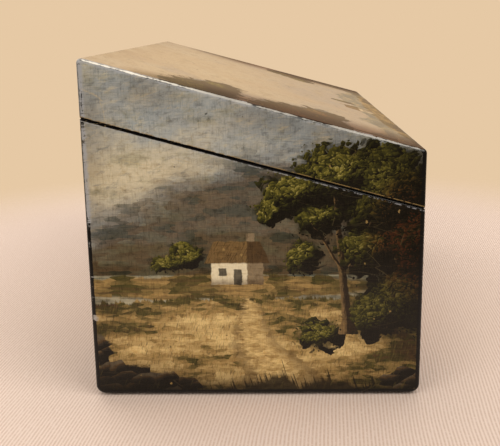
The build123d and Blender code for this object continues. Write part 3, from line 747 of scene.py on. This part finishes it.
def felted(name, deep, bright):
    f = Finish(name, roughness=0.95, sheen_weight=0.3)
    spot = f.place()
    fibre = f.noise(f.vector("MULTIPLY", spot, (1.2, 3.0, 2.0)), 1.0, 4.0, 0.75)
    lint = f.noise(spot, 0.12, 4.0, 0.7)
    cloth = f.colour(fibre.rise(0.35, 0.7), bright, deep)
    cloth = f.colour(lint.rise(0.6, 0.7) * 0.2, srgb(120, 122, 104), cloth)
    return f.feed(base_color=cloth, normal=f.bump(fibre, 0.2, 0.8))


def crumpled_foil():
    f = Finish("tinfoil", metallic=1.0)
    spot = f.place()
    fold = f.cells(f.stirred(spot, 0.1, 8.0), 0.11)
    small = f.cells(spot, 0.4)
    tarnish = f.noise(spot, 0.06, 4.0, 0.6)
    metal = f.colour(tarnish.rise(0.4, 0.66), srgb(116, 112, 106), srgb(176, 176, 174))
    return f.feed(base_color=metal, roughness=0.3 + tarnish * 0.3,
                  normal=f.bump(fold + small * 0.3, 0.5, 0.6))


def clear_glass():
    f = Finish("flint_glass", transmission_weight=1.0, ior=1.52, roughness=0.02)
    seed = f.noise(f.place(), 0.08, 2.0)
    tint = f.colour(seed, srgb(232, 240, 236), srgb(246, 250, 248))
    return f.feed(base_color=tint, normal=f.bump(seed, 0.1, 0.2))


# Pieces

ARRIS_ANGLE = radians(50)
WELD = 0.002 * MM


def shade_smooth(shape, angle=24):
    for edge in shape.edges:
        edge.smooth = edge.calc_face_angle(pi) < radians(angle)
    for face in shape.faces:
        face.smooth = True


def new_object(name, data):
    thing = bpy.data.objects.new(name, data)
    bpy.context.scene.collection.objects.link(thing)
    return thing


def new_mesh(name, shape, material):
    mesh = bpy.data.meshes.new(name)
    shape.to_mesh(mesh)
    shape.free()
    mesh.materials.append(material)
    return new_object(name, mesh)


def level_sheet(columns, rows, width, depth, middle_y, height):
    """A level grid of this size, with its middle over x = 0."""
    shape = bmesh.new()
    bmesh.ops.create_grid(shape, x_segments=columns, y_segments=rows, size=0.5)
    for vertex in shape.verts:
        vertex.co = Vector((vertex.co.x * width, middle_y + vertex.co.y * depth, height))
    return shape


def thicken(shape, height):
    """Turn a level sheet into a slab, whose other face is at this height."""
    for made in bmesh.ops.extrude_face_region(shape, geom=shape.faces[:])["geom"]:
        if isinstance(made, bmesh.types.BMVert):
            made.co.z = height
    bmesh.ops.recalc_face_normals(shape, faces=shape.faces)


def ease_arrises(shape, ease, segments=3):
    """Round off every edge that is sharper than an arris has to be."""
    sharp = [edge for edge in shape.edges if edge.calc_face_angle(0) > ARRIS_ANGLE]
    bmesh.ops.bevel(shape, geom=sharp, offset=ease, segments=segments, profile=0.5, affect="EDGES",
                    clamp_overlap=True, material=-1)


def new_piece(name, shape, material, node):
    """A mesh that stands for a node and rides on its body."""
    piece = new_mesh(name, shape, material)
    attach(piece, body_of_node[node])
    return piece


def finished_node(name, material, ease=0.0):
    """A node's own shape with its facets joined, its sharp arrises eased and its rounds shaded smooth."""
    shape = bmesh.new()
    shape.from_mesh(nodes[name].data)
    bmesh.ops.remove_doubles(shape, verts=shape.verts, dist=WELD)
    shape.normal_update()
    if ease:
        bmesh.ops.dissolve_limit(shape, angle_limit=radians(1), verts=shape.verts, edges=shape.edges)
        ease_arrises(shape, ease * MM, 2)
        bmesh.ops.recalc_face_normals(shape, faces=shape.faces)
    shade_smooth(shape)
    piece = new_piece("finished_" + name, shape, material, name)
    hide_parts(name)


PAINTED = {
    "painted_left_end": ([LEFT_END], ["case_left_wall", "lid_left_rail"]),
    "painted_front": ([FRONT], ["case_front_wall", "lid_front_rail"]),
    "painted_right_end": ([RIGHT_END], ["case_right_wall", "lid_right_rail"]),
    "painted_back": ([BACK], ["case_back_wall", "lid_back_rail"]),
    "painted_top": ([TOP, LID_EDGE], ["lid_panel"]),
    "painted_base": ([BASE_EDGE], ["base_board"]),
}


def finish_box():
    for name, (windows, pieces) in PAINTED.items():
        material = painted_side(name, windows)
        for node in pieces:
            finished_node(node, material)


def finish_fittings():
    cedar = (srgb(84, 44, 24), srgb(140, 84, 50))
    long_grain = polished_wood("cedar_along", *cedar, 0)
    cross_grain = polished_wood("cedar_across", *cedar, 1)
    boxwood = polished_wood("turned_boxwood", srgb(150, 112, 60), srgb(206, 172, 112), 2)
    brass = aged_metal("old_brass", srgb(196, 156, 82), srgb(108, 78, 38), 0.26, (0.3, 2.0, 2.0))
    steel = aged_metal("filed_steel", srgb(150, 146, 140), srgb(80, 74, 68), 0.34, (3.0, 0.4, 3.0))
    foil = crumpled_foil()
    hinges = [name for name in nodes if name.startswith("hinge_")]
    fittings = (
        (long_grain, 0.5, ["liner_front", "liner_back", "bowl_board"]),
        (cross_grain, 0.5, ["liner_left", "liner_right", "divider_left", "divider_right", "inner_lid_left",
                            "inner_lid_right"]),
        (boxwood, 0, ["inner_knob_left", "inner_knob_right"]),
        (foil, 0, ["foil_left", "foil_right"]),
        (steel, 0.15, ["lock_bolt", "lock_pin"]),
        (brass, 0, hinges + ["lock_case", "lock_cap", "lock_screws", "lock_strike", "strike_screws",
                             "escutcheon"]),
    )
    for material, ease, names in fittings:
        for name in names:
            finished_node(name, material, ease)


def lid_corners(name):
    """Lowest and highest corner of a node along, up and out of the lid."""
    into_lid = LID_FRAME.inverted()
    points = [into_lid @ vertex.co for vertex in nodes[name].data.vertices]
    return [Vector(pick(point[axis] for point in points) for axis in range(3)) for pick in (min, max)]


CLOTH_STEPS = 20


def fill_out(shape, held, pressure, most):
    """Swell a sheet as wadding would. The held points keep their place, and none moves further than most."""
    mesh = bpy.data.meshes.new("loose_sheet")
    shape.to_mesh(mesh)
    sheet = new_object("loose_sheet", mesh)
    scene = bpy.context.scene
    sheet.vertex_groups.new(name="held").add(held, 1.0, "REPLACE")
    cloth = sheet.modifiers.new("cloth", "CLOTH").settings
    cloth.vertex_group_mass = "held"
    cloth.use_pressure = True
    cloth.uniform_pressure_force = pressure
    cloth.shrink_min = -0.02
    cloth.effector_weights.gravity = 0
    for step in range(1, CLOTH_STEPS + 1):
        scene.frame_set(step)
    swollen = sheet.evaluated_get(bpy.context.evaluated_depsgraph_get()).data
    for vertex, soft in zip(shape.verts, swollen.vertices):
        move = soft.co - vertex.co
        vertex.co += move * min(1.0, most / max(move.length, 1e-9))
    bpy.data.objects.remove(sheet)
    scene.frame_set(1)


def pad_lid():
    """A buttoned velvet pad under the lid, held down at its border, with silk braid round the edge."""
    low, high = lid_corners("lid_lining")
    width, depth, middle_y = high.x - low.x, high.y - low.y, (high.y + low.y) / 2
    border, thin, diamond = 7 * MM, 1.3 * MM, 21 * MM
    buttons = [Vector((column * diamond, middle_y + row * diamond)) for row in range(-2, 3)
               for column in range(-5, 6) if (row + column) % 2 == 0]
    shape = level_sheet(120, 56, width, depth, middle_y, high.z - thin)
    bmesh.ops.reverse_faces(shape, faces=shape.faces)
    shape.verts.index_update()
    held = []
    for vertex in shape.verts:
        x, y = vertex.co.x, vertex.co.y - middle_y
        nearest = min((vertex.co.xy - button).length for button in buttons)
        if min(width / 2 - abs(x), depth / 2 - abs(y)) < border or nearest < 1.4 * MM:
            held.append(vertex.index)
    fill_out(shape, held, 20, 4.2 * MM)
    thicken(shape, high.z)
    for button in buttons:
        dome = bmesh.ops.create_uvsphere(shape, u_segments=16, v_segments=8, radius=2.3 * MM)["verts"]
        bmesh.ops.scale(shape, verts=dome, vec=(1, 1, 0.5))
        bmesh.ops.translate(shape, verts=dome, vec=(button.x, button.y, high.z - thin - 0.3 * MM))
    bmesh.ops.recalc_face_normals(shape, faces=shape.faces)
    bmesh.ops.transform(shape, matrix=LID_FRAME, verts=shape.verts)
    shade_smooth(shape, 50)
    pad = new_piece("velvet_pad", shape, velvet("crimson_velvet", srgb(74, 10, 16), srgb(136, 28, 34)),
                    "lid_lining")
    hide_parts("lid_lining")

    braid_width, thick = 5 * MM, 0.9 * MM
    shape = level_sheet(1, 1, width, depth, middle_y, high.z - thin)
    inside = shape.faces[:]
    bmesh.ops.inset_region(shape, faces=inside, thickness=braid_width, use_boundary=True,
                           use_even_offset=True)
    bmesh.ops.delete(shape, geom=inside, context="FACES")
    thicken(shape, high.z - thin - thick)
    ease_arrises(shape, 0.35 * MM)
    bmesh.ops.transform(shape, matrix=LID_FRAME, verts=shape.verts)
    shade_smooth(shape, 40)
    new_piece("silk_braid", shape, braid("gold_braid", srgb(190, 152, 84), srgb(86, 58, 28)), "lid_lining")


def lay_felt():
    """Baize under the base, and the felt that the bowl stands on."""
    baize = felted("green_baize", srgb(20, 52, 34), srgb(44, 92, 60))
    low, high = (Vector(corner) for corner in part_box("base_baize"))
    size = high - low
    shape = level_sheet(60, 28, size.x, size.y, (high.y + low.y) / 2, low.z)
    thicken(shape, high.z)
    ease_arrises(shape, 0.3 * MM)
    shade_smooth(shape, 40)
    sheet = new_piece("baize_under_base", shape, baize, "base_baize")
    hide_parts("base_baize")

    low, high = (Vector(corner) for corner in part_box("bowl_pad"))
    radius = (high.x - low.x) / 2
    shape = bmesh.new()
    disc = bmesh.ops.create_circle(shape, cap_ends=True, segments=96, radius=radius)["verts"]
    bmesh.ops.translate(shape, verts=disc, vec=((high.x + low.x) / 2, (high.y + low.y) / 2, low.z))
    thicken(shape, high.z)
    ease_arrises(shape, 0.5 * MM)
    shade_smooth(shape, 40)
    pad = new_piece("felt_under_bowl", shape, baize, "bowl_pad")
    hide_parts("bowl_pad")


# Half the section of the bowl, from under its foot up to the rim and down the inside: radius, height
BOWL_SECTION = (
    (0.5, 0.9), (20, 1.0), (23.5, 0.1), (26.4, 0.1), (27, 0.8), (27, 2.6), (26.2, 3.1), (24.8, 4.2),
    (25.2, 5.3), (29, 5.8), (33, 7.0), (37, 9.6), (40.6, 13.6), (43, 18), (44.6, 24), (45.2, 34),
    (45.5, 46), (45.8, 56), (46.0, 64), (46.3, 74), (46.4, 78.4), (46.0, 79.5), (45.0, 79.95),
    (43.9, 79.7), (43.1, 78.8), (42.8, 74), (42.4, 60), (42.0, 40), (41.4, 26), (39.6, 20.6),
    (36.4, 15.8), (32, 13), (27, 11.8), (14, 11.5), (0.5, 11.5),
)
BOWL_TURNS = 144
FLUTES = 18
FLUTE_DEPTH = 1.25
FLUTE_LOW, FLUTE_HIGH = 6.5, 52


def blow_bowl():
    """The glass mixing bowl, with shallow flutes cut round its wall."""
    low, high = (Vector(corner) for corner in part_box("mixing_bowl"))
    shape = bmesh.new()
    points = [shape.verts.new((r * MM, 0, z * MM)) for r, z in BOWL_SECTION]
    for first, second in zip(points, points[1:]):
        shape.edges.new((first, second))
    bmesh.ops.spin(shape, geom=shape.verts[:] + shape.edges[:], cent=(0, 0, 0), axis=(0, 0, 1), angle=2 * pi,
                   steps=BOWL_TURNS, use_merge=True)
    for closing in (BOWL_SECTION[0][1] * MM, BOWL_SECTION[-1][1] * MM):
        ring = [edge for edge in shape.edges
                if edge.is_boundary and abs(edge.verts[0].co.z - closing) < 0.1 * MM]
        bmesh.ops.contextual_create(shape, geom=ring)
    bmesh.ops.recalc_face_normals(shape, faces=shape.faces)
    for vertex in shape.verts:
        r, height = vertex.co.xy.length, vertex.co.z / MM
        on_wall = r > (41.9 + 0.012 * height) * MM
        on_round = height < 20 and r > 28 * MM and height < 4.6 + (r / MM - 25) * 0.9
        if (on_wall or on_round) and FLUTE_LOW < height < FLUTE_HIGH:
            turn = vertex.co.xy.angle_signed(Vector((1, 0)))
            scoop = 1 - abs(cos(FLUTES / 2 * turn)) ** 0.8
            fade = min(1.0, (height - FLUTE_LOW) / 6) * min(1.0, (FLUTE_HIGH - height) / 9)
            vertex.co.xy *= 1 - FLUTE_DEPTH * MM * scoop * fade / r
    bmesh.ops.translate(shape, verts=shape.verts, vec=((high.x + low.x) / 2, (high.y + low.y) / 2, low.z))
    shade_smooth(shape, 35)
    bowl = new_piece("cut_glass_bowl", shape, clear_glass(), "mixing_bowl")
    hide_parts("mixing_bowl")


# Floor, light and camera

FLOOR_COLOUR = srgb(222, 199, 182)
FLOOR_RIB = srgb(199, 170, 150)
WALL_COLOUR = srgb(230, 201, 165)
FLOOR_RADIUS = 1.2
FLOOR_FADE = (0.25, 0.46)
RIB_PITCH = 1.6


def lay_floor():
    """A pale round floor in fine corded cloth that fades out into the backdrop's colour."""
    shape = bmesh.new()
    bmesh.ops.create_circle(shape, cap_ends=True, segments=96, radius=FLOOR_RADIUS)
    f = Finish("pale_floor", roughness=0.85, specular_ior_level=0.1)
    spot = f.place()
    x, y, _ = f.split(f.stirred(spot, 0.01, 6.0))
    rib = ((x * 0.08 + y) * (2 * pi / RIB_PITCH)).math("SINE")
    weave = f.noise(spot, 0.6, 3.0, 0.7)
    cloth = f.colour(rib.rise(0.6, -0.8) * weave.rise(0.2, 0.6) * 0.9, FLOOR_RIB, FLOOR_COLOUR)
    away = f.vector("LENGTH", f.place(1.0), out="Value")
    f.feed(base_color=cloth, normal=f.bump(rib, 0.12, 0.4))
    shown = f.node("MixShader", inputs={0: away.rise(*FLOOR_FADE), 1: Value(f, f.shader.outputs[0]),
                                        2: f.node("BsdfTransparent")})
    f.tree.links.new(shown.socket, f.output.inputs["Surface"])
    new_mesh("floor", shape, f.material)


LIT_SPOT = Vector((0, 0, 0.07))


def light_from(name, place, size, watts):
    lamp = bpy.data.lights.new(name, "AREA")
    lamp.shape = "SQUARE"
    lamp.size = size
    lamp.energy = watts
    thing = new_object(name, lamp)
    thing.location = place
    thing.rotation_euler = (LIT_SPOT - Vector(place)).to_track_quat("-Z", "Y").to_euler()


def light_scene():
    """Soft light for the object, and a cream backdrop for the camera, the gloss and the glass."""
    world = bpy.data.worlds.new("soft_room")
    bpy.context.scene.world = world
    world.use_nodes = True
    world.node_tree.nodes.clear()
    f = Maker(world.node_tree)
    path = f.node("LightPath").socket.node
    seen = Value(f, path.outputs["Is Camera Ray"]).high(Value(f, path.outputs["Is Transmission Ray"]))
    glossy = Value(f, path.outputs["Is Glossy Ray"])
    x, _, z = f.split(f.node("TexCoord", out="Generated"))
    wall = x.rise(-0.1, 0.5) * z.rise(0.75, 0.3)
    mirrored = 0.28 + wall * 0.72
    strength = f.pick(seen, 1.0, mirrored)
    room = f.node("Background", inputs={0: (1.0, 0.98, 0.95, 1), 1: 0.55})
    backdrop = f.node("Background", inputs={0: WALL_COLOUR, 1: strength})
    shown = f.node("MixShader", inputs={0: seen.high(glossy), 1: room, 2: backdrop})
    output = f.tree.nodes.new("ShaderNodeOutputWorld")
    f.tree.links.new(shown.socket, output.inputs["Surface"])
    light_from("key", (-1.0, -1.2, 1.8), 1.4, 22)
    light_from("fill", (-1.5, 1.1, 1.3), 1.4, 15)
    light_from("over", (0.7, 0.1, 2.0), 1.6, 17)
    light_from("back_fill", (1.5, 1.3, 1.1), 1.4, 11)


def place_camera():
    forward = Vector((cos(CAMERA_PITCH) * cos(CAMERA_YAW), cos(CAMERA_PITCH) * sin(CAMERA_YAW),
                      sin(CAMERA_PITCH)))
    level_right = forward.cross(Vector((0, 0, 1))).normalized()
    level_up = level_right.cross(forward)
    right = level_right * cos(CAMERA_ROLL) + level_up * sin(CAMERA_ROLL)
    up = level_up * cos(CAMERA_ROLL) - level_right * sin(CAMERA_ROLL)
    data = bpy.data.cameras.new("camera")
    data.sensor_fit = "HORIZONTAL"
    data.sensor_width = SENSOR_WIDTH
    data.lens = FOCAL_PIXELS * SENSOR_WIDTH / PICTURE_WIDTH
    data.clip_start = 0.01
    camera = new_object("camera", data)
    turn = Matrix((right, up, -forward)).transposed().to_4x4()
    camera.matrix_world = Matrix.Translation(CAMERA_PLACE) @ turn
    bpy.context.scene.camera = camera


place_camera()
finish_box()
finish_fittings()
pad_lid()
lay_felt()
blow_bowl()
lay_floor()
light_scene()
bpy.context.scene.view_settings.view_transform = "Standard"
